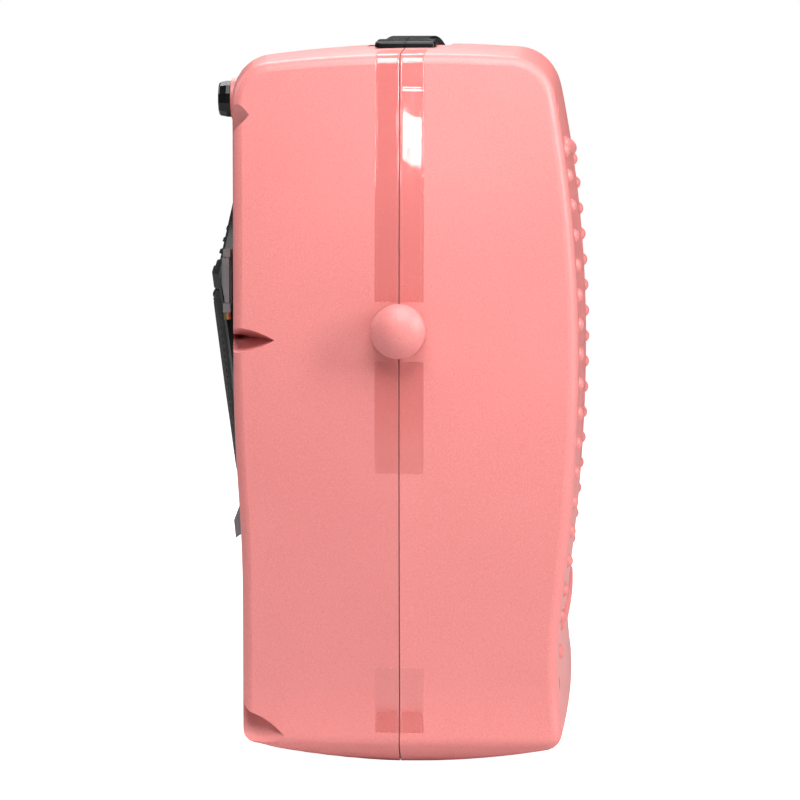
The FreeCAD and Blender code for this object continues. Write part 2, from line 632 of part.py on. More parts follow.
def make_grille():
    """Level slats, a rim and three ribs that fill the cover's upper window."""
    depth = cover_form(0.8).cut(cover_form(8.8))
    rim = ring(WINDOW_R - 0.2, WINDOW_R - 2.4, -130, -60).fuse(box(-84, 84, -130, -60, WINDOW_LOW_Z, 241.0))
    field = rod(WINDOW_R - 0.2, -130, -60).common(above(WINDOW_LOW_Z + 0.2))
    pitch, thick = 6.0, 1.8
    slats = [box(-84, 84, -130, -60, z, z + thick) for z in (245.0 + pitch * i for i in range(7))]
    ribs = [box(x - 1.0, x + 1.0, -130, -60, WINDOW_LOW_Z, 300) for x in (-42.0, 0.0, 42.0)]
    rib_depth = cover_form(3.5).cut(cover_form(8.8))
    pieces = [p.common(field).common(depth) for p in [rim] + slats]
    pieces += [p.common(field).common(rib_depth) for p in ribs]
    save("intake_grille", pieces[0].fuse(pieces[1:]).removeSplitter())


def make_filter():
    """The filter cartridge behind the cover: frame, fore mat, pleated medium and gasket."""
    frame = ring(91.6, 87.0, -77.6, -58.0).fuse(ring(91.6, 80.0, -60.0, -58.0))
    bars = [box(-81, 81, -60, -58, FAN_Z - 1.2, FAN_Z + 1.2),
            box(-1.2, 1.2, -60, -58, FAN_Z - 81, FAN_Z + 81)]
    save("filter_frame", frame.fuse(bars).removeSplitter())
    save("fore_mat", rod(86.7, -77.4, -76.2))
    pitch, half, sheet = 8.0, 11, 1.0
    front_y, rear_y = -75.8, -61.0
    fold = [V(x * pitch / 2, (front_y if x % 2 else rear_y), 100) for x in range(-2 * half, 2 * half + 1)]
    back = [V(p.x, p.y + sheet * 2, 100) for p in reversed(fold)]
    pleats = prism(fold + back, V(0, 0, 210))
    save("filter_pleats", pleats.common(rod(86.6, -77, -60.1)))
    save("filter_gasket", ring(91.4, 80.5, -57.9, -56.2))


def make_latches():
    """A grey bracket on each side of the cover, with a small press lever on an upright brass pin."""
    pin_x, pin_y = 95.5, -89.6
    bracket = box(84, 98, -91.4, -87.8, 216.5, 248.0).cut([rod(COVER_R + 0.05, -100, -80),
                                                           box(93, 99, -95, -80, 221, 244)])
    bracket = bracket.cut(post(1.05, 200, 260, pin_x, pin_y))
    profile = [V(93.5, -88.3, 221.4), V(93.5, -92.6, 221.4), V(98.3, -91.2, 221.4), V(98.3, -88.3, 221.4)]
    lever = prism(profile, V(0, 0, 22.2)).cut(post(1.1, 200, 260, pin_x, pin_y))
    nose = prism([V(90, -94, 221.4), V(90, -90.0, 221.4), V(90, -94, 236.0)], V(12, 0, 0))
    lever = lever.cut(nose)
    pin = post(1.0, 214.0, 248.5, pin_x, pin_y).fuse(post(1.8, 213.0, 216.4, pin_x, pin_y))
    for part_name, shape in (("latch_bracket", bracket), ("latch_lever", lever), ("latch_pin", pin)):
        for side_name, solid in zip(("right", "left"), both_sides(shape)):
            save("%s_%s" % (part_name, side_name), solid)


def make_pull_tab():
    """A finger tab under the cover's rim."""
    profile = [(-87.8, 112.9), (-92.4, 114.5), (-96.4, 104.0), (-95.4, 94.5), (-92.0, 97.0), (-87.8, 101.0)]
    tab = prism([V(-17, y, z) for y, z in profile], V(34, 0, 0)).cut(rod(COVER_R + 0.05, -120, -60))
    save("cover_pull_tab", tab)


# ---------------------------------------------------------------- fan and motor

def make_throat():
    plate = ring(92.0, 56.0, -53.2, -51.2).fuse(ring(58.0, 56.0, -51.3, -40.0))
    places = throat_screw_places()
    save("fan_throat", plate.cut([rod(1.5, -60, -40, x, z) for x, z in places]).removeSplitter())
    screws = [rod(1.2, -55.8, -51.2, x, z).fuse(rod(2.6, -51.2, -49.2, x, z)) for x, z in places]
    save("throat_screws", group(screws))


def blade():
    """One backward-curved blade, from the eye to the rim of the wheel."""
    thick = 1.5
    stations = [(50.0, 0.0), (67.0, 12.0), (84.5, 30.0)]

    def place(radius, degrees, lag):
        turn = math.radians(degrees) + lag / radius
        return V(radius * math.cos(turn), IMPELLER_FRONT_Y + 1, FAN_Z + radius * math.sin(turn))

    lead = [place(r, a, 0) for r, a in stations]
    trail = [place(r, a, thick) for r, a in stations]
    edges = [Part.Arc(*lead).toShape(), Part.LineSegment(lead[-1], trail[-1]).toShape(),
             Part.Arc(*reversed(trail)).toShape(), Part.LineSegment(trail[0], lead[0]).toShape()]
    return Part.Face(Part.Wire(edges)).extrude(V(0, IMPELLER_REAR_Y - IMPELLER_FRONT_Y - 2, 0))


def make_fan():
    back = ring(IMPELLER_R, SHAFT_R + 0.05, IMPELLER_REAR_Y - 2, IMPELLER_REAR_Y)
    shroud = ring(IMPELLER_R, EYE_R, IMPELLER_FRONT_Y, IMPELLER_FRONT_Y + 2)
    hub = ring(HUB_R, SHAFT_R + 0.05, -22, IMPELLER_REAR_Y)
    blades = []
    for i in range(BLADES):
        turned = blade()
        turned.rotate(V(0, 0, FAN_Z), REAR, 360.0 * i / BLADES)
        blades.append(turned)
    save("fan_wheel", back.fuse([shroud, hub] + blades))
    save("fan_shaft", rod(SHAFT_R, -30, 48))
    hexagon = [V(7.5 * math.cos(math.radians(60 * i)), -27.0, FAN_Z + 7.5 * math.sin(math.radians(60 * i)))
               for i in range(6)]
    save("hub_nut", prism(hexagon, V(0, 4.8, 0)).cut(rod(SHAFT_R + 0.05, -40, 0)))


def motor_screw_places():
    return [(20 * math.cos(math.radians(a)), FAN_Z + 20 * math.sin(math.radians(a))) for a in (0, 90, 180, 270)]


def make_motor():
    can = rod(MOTOR_R, MOTOR_FRONT_Y, MOTOR_REAR_Y)
    can = can.makeChamfer(2.0, [e for e in can.Edges if abs(e.CenterOfMass.y - MOTOR_REAR_Y) < 0.1])
    bores = [rod(SHAFT_R + 0.3, 20, 50)] + [rod(1.6, 20, 34, x, z) for x, z in motor_screw_places()]
    vents = []
    for i in range(8):
        vent = box(MOTOR_R - 3, MOTOR_R + 3, 38, 54, FAN_Z - 3, FAN_Z + 3)
        vent.rotate(V(0, 0, FAN_Z), REAR, 45.0 * i + 22.5)
        vents.append(vent)
    save("motor", can.cut(bores + vents))
    plate_y = MOTOR_FRONT_Y - PLATE_THICK
    plate = rounded_plate(124, 124, 12, PLATE_THICK, 0, plate_y, FAN_Z)
    holes = [rod(9.0, 0, 40)] + [rod(1.8, 0, 40, x, z) for x, z in motor_screw_places()]
    holes += [rod(SCREW_R + 0.4, 0, 40, x, z) for x, z in mount_places()]
    save("motor_plate", plate.cut(holes))
    save("motor_screws", group([rod(1.5, plate_y, 33, x, z).fuse(rod(2.8, plate_y - 2, plate_y, x, z))
                                for x, z in motor_screw_places()]))
    save("motor_isolators", group([ring(6.5, SCREW_R + 0.3, MOTOR_FRONT_Y, MOTOR_FRONT_Y + ISOLATOR_THICK, x, z)
                                   for x, z in mount_places()]))
    save("mount_screws", group([rod(SCREW_R, plate_y, 44, x, z).fuse(rod(SCREW_HEAD_R, plate_y - 2.4, plate_y, x, z))
                                for x, z in mount_places()]))


def make_exhaust_screen():
    disc = rod(SCREEN_R, SCREEN_Y, SCREEN_Y + SCREEN_THICK)
    holes = [rod(5.4, 60, 80, x, z) for x, z in mount_places()]
    for reach, count in ((42.0, 12), (62.0, 20), (80.0, 28), (94.0, 36)):
        for i in range(count):
            turn = 2 * math.pi * (i + 0.5) / count
            x, z = reach * math.cos(turn), FAN_Z + reach * math.sin(turn)
            if min(math.hypot(x - mx, z - mz) for mx, mz in mount_places()) > 12:
                holes.append(rod(5.0, 60, 80, x, z))
    save("exhaust_screen", disc.cut(holes))


# ---------------------------------------------------------------- speed control

def make_speed_control():
    sides, waist = 12, 8.6
    rings = []
    for radius, y in ((KNOB_R, KNOB_SEAT_Y - 0.4), (KNOB_R, KNOB_SEAT_Y - 2.4), (waist, KNOB_FRONT_Y + 0.8),
                      (waist - 0.8, KNOB_FRONT_Y)):
        points = [V(KNOB_X + radius * math.cos(2 * math.pi * (i + 0.5) / sides), y,
                    KNOB_Z + radius * math.sin(2 * math.pi * (i + 0.5) / sides)) for i in range(sides)]
        rings.append(Part.makePolygon(points + points[:1]))
    knob = Part.makeLoft(rings, True, True)
    pointer = box(KNOB_X - 0.6, KNOB_X + 0.6, KNOB_FRONT_Y - 1, KNOB_FRONT_Y + 0.6, KNOB_Z + 1.5, KNOB_Z + 12)
    save("speed_knob", knob.cut([pointer, rod(3.05, -92.0, -80, KNOB_X, KNOB_Z)]))
    save("control_shaft", rod(3.0, -91.9, -71, KNOB_X, KNOB_Z))
    case = box(KNOB_X - 8, KNOB_X + 8, -77.5, BOARD_Y - 0.05, KNOB_Z - 8, KNOB_Z + 8)
    case = case.fuse(rod(3.7, -85.5, -77, KNOB_X, KNOB_Z)).cut(rod(3.1, -90, -70.5, KNOB_X, KNOB_Z))
    save("control_case", case)
    board = rounded_plate(50, 46, 3, BOARD_THICK, KNOB_X, BOARD_Y, 310.0)
    save("control_board", board.cut([rod(1.4, -80, 0, x, z) for x, z in BOARD_SCREWS]))
    top_y = BOARD_Y + BOARD_THICK
    save("board_screws", group([rod(1.2, -75, top_y, x, z).fuse(rod(2.4, top_y, top_y + 1.8, x, z))
                                for x, z in BOARD_SCREWS]))
    chips = [rod(5.0, top_y, top_y + 13, 88, 302), rod(4.0, top_y, top_y + 11, 101, 300)]
    chips += [box(106, 117, top_y, top_y + 9, 304, 320), box(84, 98, top_y, top_y + 3, 314, 324)]
    chips += [box(71, 80, top_y, top_y + 6, 304, 316)]
    save("board_parts", group(chips))


def make_motor_lead():
    """The insulated lead from the board to the motor, as two straight runs and one bend."""
    start, corner = V(118.2, -63.8, 289.5), V(118.2, 46, 289.5)
    toward = V(0, 46, FAN_Z) - corner
    toward.normalize()
    end = V(0, 46, FAN_Z) - toward * (MOTOR_R + 0.3)
    radius = 12.0
    along = V(corner - start).normalize()
    half_turn = along.getAngle(toward) / 2
    cut = radius * math.tan(half_turn)
    bend_in, bend_out = corner - along * cut, corner + toward * cut
    inward = (toward - along).normalize()
    centre = corner + inward * (radius / math.cos(half_turn))
    middle = centre - inward * radius
    path = Part.Wire([Part.LineSegment(start, bend_in).toShape(), Part.Arc(bend_in, middle, bend_out).toShape(),
                      Part.LineSegment(bend_out, end).toShape()])
    disc = Part.Wire(Part.makeCircle(1.7, start, along))
    save("motor_lead", path.makePipeShell([disc], True, True))


# ---------------------------------------------------------------- power panel

def panel_frame():
    """Where the power panel sits on the left side: its middle, and its forward, upward and outward directions."""
    lean = math.asin((PANEL_Z - SIDE_C[1]) / SIDE_R)
    x, z = polar(SIDE_C, SIDE_R, lean)
    place = V(PANEL_Y * SIDE_TAPER - x, PANEL_Y, z)
    outward = V(-math.cos(lean), SIDE_TAPER, math.sin(lean)).normalize()
    upward = V(UP - outward * UP.dot(outward)).normalize()
    return place, upward.cross(outward), upward, outward


def panel_place(shape):
    """Move a shape from the panel's own frame (x forward, y up, z outward) to its place on the housing."""
    place, forward, upward, outward = panel_frame()
    matrix = FreeCAD.Matrix(forward.x, upward.x, outward.x, place.x, forward.y, upward.y, outward.y, place.y,
                            forward.z, upward.z, outward.z, place.z, 0, 0, 0, 1)
    moved = shape.copy()
    moved.Placement = FreeCAD.Placement(matrix).multiply(shape.Placement)
    return moved


def slab(width, height, z0, z1, up):
    """A plate or block on the panel, as wide and high as given, centred at up."""
    return box(-width / 2, width / 2, up - height / 2, up + height / 2, z0, z1)


def softened(plate, radius):
    corners = [e for e in plate.Edges if abs(e.tangentAt(e.FirstParameter).z) > 0.9]
    return plate.makeFillet(radius, corners)


def inlet_hole():
    """The cut-out for the inlet's body and the holes for its two screws."""
    screws = [post(1.8, -12, 6, x, INLET_UP) for x in (-INLET_SCREW_X, INLET_SCREW_X)]
    return slab(29.4, 22.0, -12, 6, INLET_UP).fuse(screws)


def rocker_hole():
    return slab(19.8, 13.8, -12, 6, ROCKER_UP)


def make_power_panel():
    lift, flange = 0.2, 2.2
    body = softened(slab(48, 30, lift, flange, INLET_UP), 4.0).fuse(slab(28.8, 21.4, -20, lift, INLET_UP))
    body = body.cut([softened(slab(24.6, 17.0, -15, 6, INLET_UP), 3.0)])
    pins = [box(x - 1.0, x + 1.0, up - 2.0, up + 2.0, -19, -3.5)
            for x, up in ((-7.0, INLET_UP - 2), (0.0, INLET_UP + 2.5), (7.0, INLET_UP - 2))]
    holes = [post(1.7, -5, 6, x, INLET_UP) for x in (-INLET_SCREW_X, INLET_SCREW_X)]
    slots = [p.copy() for p in pins]
    save("power_inlet", panel_place(body.cut(slots + holes)))
    save("inlet_pins", group([panel_place(p) for p in pins]))
    screws = [post(1.5, -6, flange, x, INLET_UP).fuse(post(2.8, flange, flange + 1.5, x, INLET_UP))
              for x in (-INLET_SCREW_X, INLET_SCREW_X)]
    save("inlet_screws", group([panel_place(s) for s in screws]))
    bezel = softened(slab(23, 17, lift, 1.8, ROCKER_UP), 2.0).fuse(slab(19.2, 13.2, -14, lift, ROCKER_UP))
    bezel = bezel.cut(slab(16.6, 10.4, -11, 6, ROCKER_UP))
    pivot = Part.makeCylinder(1.3, 12.4, V(0, ROCKER_UP - 6.2, ROCKER_PIVOT), V(0, 1, 0))
    bezel = bezel.cut(Part.makeCylinder(1.5, 12.6, V(0, ROCKER_UP - 6.3, ROCKER_PIVOT), V(0, 1, 0)))
    save("rocker_bezel", panel_place(bezel))
    outline_points = [(-7.0, 2.8), (0.0, 1.4), (7.0, 2.8), (6.4, -5.5), (-6.4, -5.5)]
    paddle = prism([V(x, ROCKER_UP - 4.9, z) for x, z in outline_points], V(0, 9.8, 0)).fuse(pivot)
    save("rocker_paddle", panel_place(paddle))
    place, forward, upward, outward = panel_frame()
    pivot_place = place + upward * ROCKER_UP + outward * ROCKER_PIVOT
    print("rocker pivot", pivot_place, "axis", upward, "inlet", place + upward * INLET_UP, "outward", outward)


def main():
    os.makedirs("parts", exist_ok=True)
    for make in (make_front_shell, make_rear_shell, make_shell_screws, make_side_studs, make_tapes, make_rear_studs,
                 make_handle, make_cover, make_grille, make_filter, make_latches, make_pull_tab, make_throat,
                 make_fan, make_motor, make_exhaust_screen, make_speed_control, make_motor_lead, make_power_panel):
        make()


if __name__ == "__main__":
    main()
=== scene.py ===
import json
import math

import bmesh
import bpy
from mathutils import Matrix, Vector, noise
from mathutils.bvhtree import BVHTree


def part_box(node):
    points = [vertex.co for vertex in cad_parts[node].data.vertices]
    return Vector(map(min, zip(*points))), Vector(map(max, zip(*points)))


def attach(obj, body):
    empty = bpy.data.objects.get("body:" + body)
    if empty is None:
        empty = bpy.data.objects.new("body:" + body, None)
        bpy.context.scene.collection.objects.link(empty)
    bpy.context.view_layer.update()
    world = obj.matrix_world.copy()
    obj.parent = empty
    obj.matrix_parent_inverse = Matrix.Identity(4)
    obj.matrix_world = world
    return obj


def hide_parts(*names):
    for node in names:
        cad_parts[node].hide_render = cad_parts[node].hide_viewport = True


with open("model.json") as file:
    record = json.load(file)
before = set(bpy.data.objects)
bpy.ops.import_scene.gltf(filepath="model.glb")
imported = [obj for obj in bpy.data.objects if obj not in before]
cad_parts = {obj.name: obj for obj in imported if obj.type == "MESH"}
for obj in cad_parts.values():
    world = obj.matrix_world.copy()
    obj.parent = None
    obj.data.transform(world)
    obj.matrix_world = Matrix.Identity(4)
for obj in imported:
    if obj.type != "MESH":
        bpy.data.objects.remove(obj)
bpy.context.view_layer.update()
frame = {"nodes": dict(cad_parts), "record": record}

# An upright nail dust collector: soft pink moulded shells, clear tape over the parting line,
# a black intake cover with a padded hand rest, and a black carry handle.
# Metres, in the frame's own axes: +X the user's right, -Y the intake side, +Z up.

scene = bpy.context.scene


# ---------------------------------------------------------------- camera

TARGET = Vector((0.150, 0.0005, 0.1768))   # the point of the right side that the view is centred on
CAMERA_DISTANCE = 1.50
CAMERA_TURN = math.radians(4.0)            # round from the right side towards the rear
CAMERA_RISE = math.radians(3.9)
CAMERA_LENS, CAMERA_SENSOR = 140.6, 36.0   # mm
CAMERA_NEAR, CAMERA_FAR = 0.05, 50.0


def make_camera():
    data = bpy.data.cameras.new("camera")
    data.lens = CAMERA_LENS
    data.sensor_width = CAMERA_SENSOR
    data.clip_start, data.clip_end = CAMERA_NEAR, CAMERA_FAR
    data.dof.use_dof = False
    camera = bpy.data.objects.new("camera", data)
    scene.collection.objects.link(camera)
    away = Vector((math.cos(CAMERA_RISE) * math.cos(CAMERA_TURN),
                   math.cos(CAMERA_RISE) * math.sin(CAMERA_TURN), math.sin(CAMERA_RISE)))
    camera.location = TARGET + away * CAMERA_DISTANCE
    camera.rotation_euler = (-away).to_track_quat("-Z", "Y").to_euler()
    scene.camera = camera


make_camera()


# ---------------------------------------------------------------- studio

# name: place, point it faces, width, height, watts
LAMPS = {
    "top_softbox": ((0.45, 0.06, 0.72), (0.12, 0.0, 0.24), 0.50, 0.50, 4.2),
    "overhead": ((1.20, 0.10, 1.75), (0.12, 0.0, 0.10), 1.10, 1.10, 12.5),
    "front_softbox": ((2.0, 0.45, 0.36), (0.12, 0.0, 0.10), 0.50, 0.50, 0.8),
    "glint_strip": ((2.1, 0.18, 0.56), (0.12, 0.0, 0.30), 0.26, 0.07, 1.3),
    "rear_strip": ((0.7, 1.20, 0.75), (0.10, 0.05, 0.25), 0.22, 0.80, 18.0),
    "front_fill": ((-0.2, -1.5, 1.0), (0.0, 0.0, 0.2), 0.9, 0.9, 9.0),
    "left_softbox": ((-0.85, -0.2, 1.35), (-0.12, 0.0, 0.15), 0.70, 0.70, 11.0),
}
BACKDROP_SEEN, BACKDROP_LIGHT = 1.0, 0.06    # the white backdrop as the camera sees it, and as it lights things
FLOOR_SEEN, FLOOR_LIGHT = 1.0, 0.05          # the floor's own glow, likewise
FLOOR_REACH, FLOOR_DROP = 8.0, 0.0002


def area_light(name, place, aim, width, height, power):
    data = bpy.data.lights.new(name, "AREA")
    data.shape = "RECTANGLE"
    data.size, data.size_y = width, height
    data.energy = power
    lamp = bpy.data.objects.new(name, data)
    scene.collection.objects.link(lamp)
    lamp.location = place
    lamp.rotation_euler = (Vector(aim) - Vector(place)).to_track_quat("-Z", "Y").to_euler()


def seen_or_lighting(tree, lighting, seen):
    """One strength for what the camera sees directly and another for the light that falls on things."""
    path = tree.nodes.new("ShaderNodeLightPath")
    return spread(tree, path.outputs["Is Camera Ray"], lighting, seen)


def make_studio():
    """Softboxes above, in front, at the left and rear, a narrow strip that shows in the tape, and white all round."""
    world = bpy.data.worlds.new("studio")
    world.use_nodes = True
    tree = world.node_tree
    tree.nodes["Background"].inputs["Color"].default_value = WHITE
    tree.links.new(seen_or_lighting(tree, BACKDROP_LIGHT, BACKDROP_SEEN),
                   tree.nodes["Background"].inputs["Strength"])
    scene.world = world
    for name, settings in LAMPS.items():
        area_light(name, *settings)
    scene.view_settings.view_transform = "Standard"
    scene.view_settings.look = "None"
    mesh = bpy.data.meshes.new("floor")
    corners = [(x * FLOOR_REACH, y * FLOOR_REACH, 0.0) for x, y in ((-1, -1), (1, -1), (1, 1), (-1, 1))]
    mesh.from_pydata(corners, [], [(0, 1, 2, 3)])
    floor = bpy.data.objects.new("floor", mesh)
    scene.collection.objects.link(floor)
    floor.location.z = -FLOOR_DROP
    floor.data.materials.append(plain_floor())


# ---------------------------------------------------------------- material helpers

WHITE = (1.0, 1.0, 1.0, 1.0)
FLOW_LOW, FLOW_HIGH = 0.3, 0.7       # the middle part of a noise's range, which most of it falls in


def new_material(name, colour, roughness, metallic=0.0, specular=0.5):
    """A principled material and its node tree, with the even values set on the shader's own sockets."""
    material = bpy.data.materials.new(name)
    material.use_nodes = True
    tree = material.node_tree
    shader = tree.nodes["Principled BSDF"]
    shader.inputs["Base Color"].default_value = (*colour, 1.0)
    shader.inputs["Roughness"].default_value = roughness
    shader.inputs["Metallic"].default_value = metallic
    shader.inputs["Specular IOR Level"].default_value = specular
    return material, tree, shader


def add(tree, kind, **inputs):
    """A node with its inputs set: socket names have underscores for spaces."""
    node = tree.nodes.new(kind)
    for key, value in inputs.items():
        node.inputs[key.replace("_", " ")].default_value = value
    return node


def object_point(tree, stretch=(1.0, 1.0, 1.0)):
    """Object coordinates, stretched; every piece keeps its object at the origin, so they are the row's metres."""
    source = tree.nodes.new("ShaderNodeTexCoord")
    mapping = tree.nodes.new("ShaderNodeMapping")
    mapping.inputs["Scale"].default_value = stretch
    tree.links.new(source.outputs["Object"], mapping.inputs["Vector"])
    return mapping.outputs["Vector"]


def noise_at(tree, point, scale, detail=2.0, roughness=0.5):
    node = add(tree, "ShaderNodeTexNoise", Scale=scale, Detail=detail, Roughness=roughness)
    tree.links.new(point, node.inputs["Vector"])
    return node.outputs["Fac"]


def spread(tree, value, low, high, from_low=0.0, from_high=1.0):
    node = tree.nodes.new("ShaderNodeMapRange")
    for key, number in (("From Min", from_low), ("From Max", from_high), ("To Min", low), ("To Max", high)):
        node.inputs[key].default_value = number
    tree.links.new(value, node.inputs["Value"])
    return node.outputs["Result"]


def bump(tree, shader, height, distance, strength=1.0, under=None):
    node = add(tree, "ShaderNodeBump", Strength=strength, Distance=distance)
    tree.links.new(height, node.inputs["Height"])
    if under is not None:
        tree.links.new(under, node.inputs["Normal"])
    tree.links.new(node.outputs["Normal"], shader.inputs["Normal"])
    return node.outputs["Normal"]


def tinted(tree, shader, value, dark, light):
    """Base colour between two shades of the same colour."""
    mix = tree.nodes.new("ShaderNodeMix")
    mix.data_type = "RGBA"
    mix.inputs["A"].default_value = (*dark, 1.0)
    mix.inputs["B"].default_value = (*light, 1.0)
    tree.links.new(value, mix.inputs["Factor"])
    tree.links.new(mix.outputs["Result"], shader.inputs["Base Color"])


# ---------------------------------------------------------------- materials

PINK = (0.650, 0.206, 0.197)
PINK_LOW = (0.575, 0.174, 0.165)
PINK_HIGH = (0.725, 0.238, 0.229)


def plain_floor():
    """White paper that glows to pure white for the camera."""
    material, tree, shader = new_material("floor_paper", (0.66, 0.66, 0.66), roughness=0.9, specular=0.1)
    shader.inputs["Emission Color"].default_value = WHITE
    tree.links.new(seen_or_lighting(tree, FLOOR_LIGHT, FLOOR_SEEN), shader.inputs["Emission Strength"])
    return material


def pink_plastic():
    """Moulded plastic with a fine spark-eroded grain and a faint flow in its colour."""
    material, tree, shader = new_material("pink_shell", PINK, roughness=0.42)
    point = object_point(tree)
    flow = noise_at(tree, point, scale=9.0, detail=3.0)
    speck = noise_at(tree, point, scale=1500.0, detail=2.0, roughness=0.7)
    blend = add(tree, "ShaderNodeMix", Factor=0.7)
    tree.links.new(flow, blend.inputs["A"])
    tree.links.new(speck, blend.inputs["B"])
    shade = spread(tree, blend.outputs["Result"], 0.0, 1.0, FLOW_LOW, FLOW_HIGH)
    tinted(tree, shader, shade, PINK_LOW, PINK_HIGH)
    grain = noise_at(tree, point, scale=2600.0, detail=2.0, roughness=0.6)
    tree.links.new(spread(tree, grain, 0.38, 0.50, FLOW_LOW, FLOW_HIGH), shader.inputs["Roughness"])
    swell = noise_at(tree, point, scale=14.0, detail=1.0)
    under = bump(tree, shader, swell, distance=0.0006, strength=0.25)
    bump(tree, shader, grain, distance=0.00008, strength=0.5, under=under)
    shader.inputs["Subsurface Weight"].default_value = 0.08
    shader.inputs["Subsurface Radius"].default_value = (0.004, 0.0015, 0.0012)
    return material


def moulded(name, colour, roughness, grain_scale=1800.0, grain_depth=0.00006, specular=0.5):
    """Plain moulded plastic or rubber: grain, a little unevenness in gloss, and faint handling marks."""
    material, tree, shader = new_material(name, colour, roughness, specular=specular)
    point = object_point(tree)
    grain = noise_at(tree, point, grain_scale)
    marks = noise_at(tree, point, scale=38.0, detail=4.0, roughness=0.65)
    gloss = spread(tree, marks, roughness * 0.85, roughness * 1.2, FLOW_LOW, FLOW_HIGH)
    tree.links.new(gloss, shader.inputs["Roughness"])
    light = tuple(min(1.0, c * 1.25 + 0.004) for c in colour)
    tinted(tree, shader, spread(tree, marks, 0.0, 1.0, 0.35, 0.75), colour, light)
    bump(tree, shader, grain, grain_depth, strength=0.6)
    return material


def metal(name, colour, roughness, along):
    """Metal with fine tool lines, drawn out along the axis whose stretch is small."""
    material, tree, shader = new_material(name, colour, roughness, metallic=1.0)
    lines = noise_at(tree, object_point(tree, along), scale=900.0, detail=3.0)
    dull = noise_at(tree, object_point(tree), scale=60.0, detail=3.0)
    gloss = spread(tree, dull, roughness * 0.7, roughness * 1.4, FLOW_LOW, FLOW_HIGH)
    tree.links.new(gloss, shader.inputs["Roughness"])
    tinted(tree, shader, lines, tuple(c * 0.86 for c in colour), colour)
    bump(tree, shader, lines, distance=0.00003, strength=0.5)
    return material


def clear_film():
    """Clear packing tape: see-through, glossier at a glancing view, with faint drag lines along it."""
    material = bpy.data.materials.new("clear_tape")
    material.use_nodes = True
    tree = material.node_tree
    tree.nodes.remove(tree.nodes["Principled BSDF"])
    clear = add(tree, "ShaderNodeBsdfTransparent", Color=(0.985, 0.940, 0.935, 1.0))
    gloss = add(tree, "ShaderNodeBsdfGlossy", Color=WHITE)
    drag = noise_at(tree, object_point(tree, (1.0, 1.0, 0.06)), scale=420.0, detail=3.0)
    tree.links.new(spread(tree, drag, 0.03, 0.09, FLOW_LOW, FLOW_HIGH), gloss.inputs["Roughness"])
    facing = add(tree, "ShaderNodeLayerWeight", Blend=0.12)
    mix = tree.nodes.new("ShaderNodeMixShader")
    tree.links.new(spread(tree, facing.outputs["Facing"], 0.040, 0.12), mix.inputs["Fac"])
    tree.links.new(clear.outputs["BSDF"], mix.inputs[1])
    tree.links.new(gloss.outputs["BSDF"], mix.inputs[2])
    tree.links.new(mix.outputs["Shader"], tree.nodes["Material Output"].inputs["Surface"])
    return material


def non_woven():
    """White non-woven filter cloth: matted fibres."""
    material, tree, shader = new_material("filter_white", (0.82, 0.82, 0.80), roughness=0.9, specular=0.2)
    fibres = noise_at(tree, object_point(tree), scale=700.0, detail=6.0, roughness=0.8)
    tinted(tree, shader, fibres, (0.70, 0.70, 0.68), (0.88, 0.88, 0.86))
    bump(tree, shader, fibres, distance=0.0003, strength=0.9)
    shader.inputs["Sheen Weight"].default_value = 0.2
    return material


def leatherette():
    """The hand rest's soft skin: pebble grain with fine creases."""
    material, tree, shader = new_material("black_soft", (0.008, 0.008, 0.008), roughness=0.52, specular=0.25)
    point = object_point(tree)
    cells = add(tree, "ShaderNodeTexVoronoi", Scale=620.0)
    cells.feature = "DISTANCE_TO_EDGE"
    warp = add(tree, "ShaderNodeTexNoise", Scale=260.0, Detail=2.0)
    tree.links.new(point, warp.inputs["Vector"])
    shift = tree.nodes.new("ShaderNodeVectorMath")
    shift.operation = "MULTIPLY_ADD"
    shift.inputs[1].default_value = (0.0016, 0.0016, 0.0016)
    tree.links.new(warp.outputs["Color"], shift.inputs[0])
    tree.links.new(point, shift.inputs[2])
    tree.links.new(shift.outputs["Vector"], cells.inputs["Vector"])
    pebble = spread(tree, cells.outputs["Distance"], 0.0, 1.0, 0.0, 0.25)
    tree.links.new(spread(tree, pebble, 0.62, 0.44), shader.inputs["Roughness"])
    # painted shade: the base colour is darker in the creases between the pebbles and lighter on their tops
    tinted(tree, shader, pebble, (0.004, 0.004, 0.004), (0.010, 0.010, 0.011))
    bump(tree, shader, pebble, distance=0.00022, strength=0.8)
    return material


FINE_GRAIN = (900.0, 0.00002)        # grain scale and depth of polished plastic

MATERIALS = {
    "pink_shell": pink_plastic(),
    "clear_tape": clear_film(),
    "black_gloss": moulded("black_gloss", (0.003, 0.003, 0.0034), 0.24, *FINE_GRAIN, specular=0.25),
    "black_soft": leatherette(),
    "black_plastic": moulded("black_plastic", (0.004, 0.004, 0.0044), 0.42, specular=0.20),
    "grey_plastic": moulded("grey_plastic", (0.20, 0.20, 0.21), 0.24, *FINE_GRAIN),
    "steel": metal("steel", (0.60, 0.60, 0.62), 0.30, (1.0, 0.08, 1.0)),
    "brass": metal("brass", (0.74, 0.52, 0.27), 0.24, (1.0, 1.0, 0.08)),
    "aluminium": metal("aluminium", (0.74, 0.75, 0.77), 0.38, (0.1, 1.0, 1.0)),
    "filter_white": non_woven(),
    "rubber_black": moulded("rubber_black", (0.022, 0.022, 0.022), 0.75, 1200.0, 0.0001, specular=0.3),
    "fan_white": moulded("fan_white", (0.62, 0.62, 0.60), 0.40),
    "board_green": moulded("board_green", (0.020, 0.16, 0.055), 0.32),
    "part_dark": moulded("part_dark", (0.030, 0.030, 0.034), 0.40),
}

make_studio()


def dress_frame():
    """Give every CAD node the full material of its slot."""
    slots = {entry["node"]: entry["material_slot"] for entry in frame["record"]["subparts"]}
    for name, node in frame["nodes"].items():
        node.data.materials.clear()
        node.data.materials.append(MATERIALS[slots[name]])


dress_frame()


# ---------------------------------------------------------------- mesh helpers

